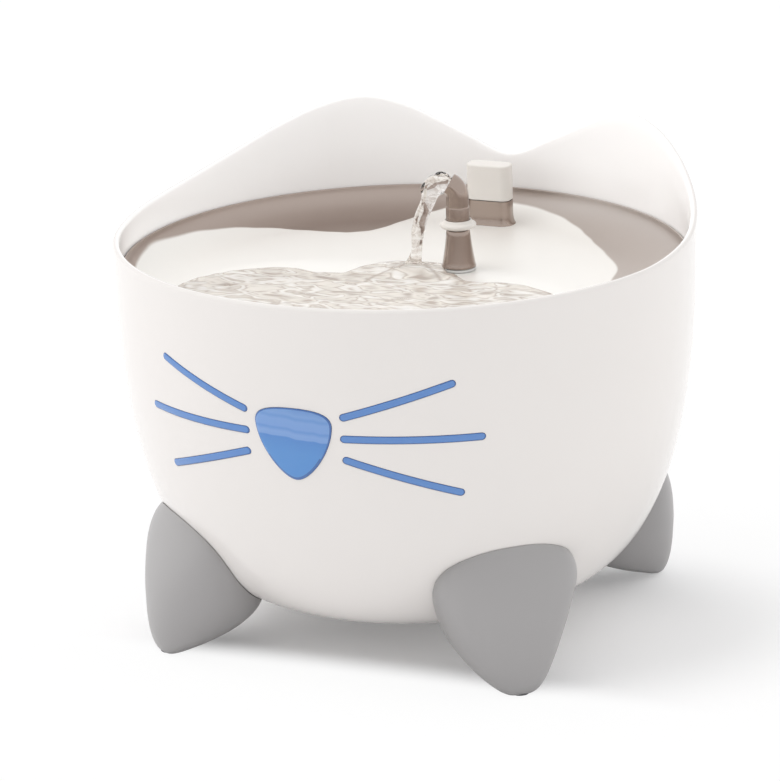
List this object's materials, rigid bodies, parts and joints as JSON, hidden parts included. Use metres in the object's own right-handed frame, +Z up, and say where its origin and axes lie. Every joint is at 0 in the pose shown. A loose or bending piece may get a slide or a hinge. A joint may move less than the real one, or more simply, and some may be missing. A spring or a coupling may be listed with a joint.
{
  "type": "pet water fountain",
  "caption": "Round bowl fountain with two ears, standing on paws, with a lift-out steel drinking dish that has a grip, a swivelling spout and a pump and filter inside.",
  "frame": {"origin": "on the ground, under the middle of the round bowl", "axes": "+Z up; the front with the nose faces -Y; +X to the right as seen from the front"},
  "size_m": [0.245, 0.2452, 0.1986],
  "materials": {
    "white_shell": "glossy moulded plastic",
    "white_plastic": "semi-gloss moulded plastic",
    "grey_paw": "satin moulded plastic",
    "blue_inlay": "glossy translucent plastic",
    "steel": "satin stainless steel",
    "rubber": "matt",
    "silicone": "soft satin",
    "pump_plastic": "fine moulded texture",
    "magnet": "matt coated",
    "ceramic": "polished ceramic",
    "screw_steel": "plated",
    "foam": "open-cell foam"
  },
  "bodies": {
    "housing": {"bowl_shell": "white_shell", "cable_gland": "rubber", "foot_front_right": "grey_paw", "foot_rear_right": "grey_paw", "foot_rear_left": "grey_paw", "foot_front_left": "grey_paw", "foot_screw_front_right": "screw_steel", "foot_screw_rear_right": "screw_steel", "foot_screw_rear_left": "screw_steel", "foot_screw_front_left": "screw_steel", "foot_pad_front_right": "rubber", "foot_pad_rear_right": "rubber", "foot_pad_rear_left": "rubber", "foot_pad_front_left": "rubber", "nose_window": "blue_inlay", "nose_seal": "silicone", "nose_retainer": "white_plastic", "whisker_left_top": "blue_inlay", "whisker_left_middle": "blue_inlay", "whisker_left_bottom": "blue_inlay", "whisker_right_top": "blue_inlay", "whisker_right_middle": "blue_inlay", "whisker_right_bottom": "blue_inlay", "module_base": "pump_plastic", "suction_cup_front_left": "silicone", "suction_cup_front_right": "silicone", "suction_cup_rear_left": "silicone", "suction_cup_rear_right": "silicone", "pump_body": "pump_plastic", "pump_back_cover": "pump_plastic", "pump_front_cover": "pump_plastic", "shaft_bush_front": "rubber", "shaft_bush_rear": "rubber", "impeller_shaft": "ceramic", "riser_hose": "silicone", "filter_housing": "white_plastic"},
    "dish": {"drinking_dish": "steel", "lift_grip": "white_plastic", "grip_plate": "steel", "grip_screw": "screw_steel", "spout_washer": "silicone", "spout_base": "steel", "spout_locknut": "white_plastic", "spout_ring": "white_plastic"},
    "spout": {"spout_nozzle": "steel", "spout_o_ring": "rubber"},
    "rotor": {"impeller": "white_plastic", "rotor_magnet": "magnet"},
    "slider": {"flow_slider": "white_plastic"},
    "filter": {"filter_frame": "white_plastic", "filter_pad": "foam"}
  },
  "joints": [
    {"name": "dish_lift", "type": "slide", "parent": "housing", "child": "dish", "axis": [0, 0, 1], "range_m": [0, 0.06]},
    {"name": "spout_swivel", "type": "hinge", "parent": "dish", "child": "spout", "pos_m": [0.015, 0.023, 0.17], "axis": [0, 0, 1], "range_deg": [-16, 164]},
    {"name": "impeller_spin", "type": "hinge", "parent": "housing", "child": "rotor", "pos_m": [0, 0.02, 0.04681], "axis": [0, 1, 0], "continuous": true},
    {"name": "flow_slide", "type": "slide", "parent": "housing", "child": "slider", "axis": [1, 0, 0], "range_m": [0, 0.006]},
    {"name": "filter_lift", "type": "slide", "parent": "housing", "child": "filter", "axis": [0, 0, 1], "range_m": [0, 0.04]}
  ]
}
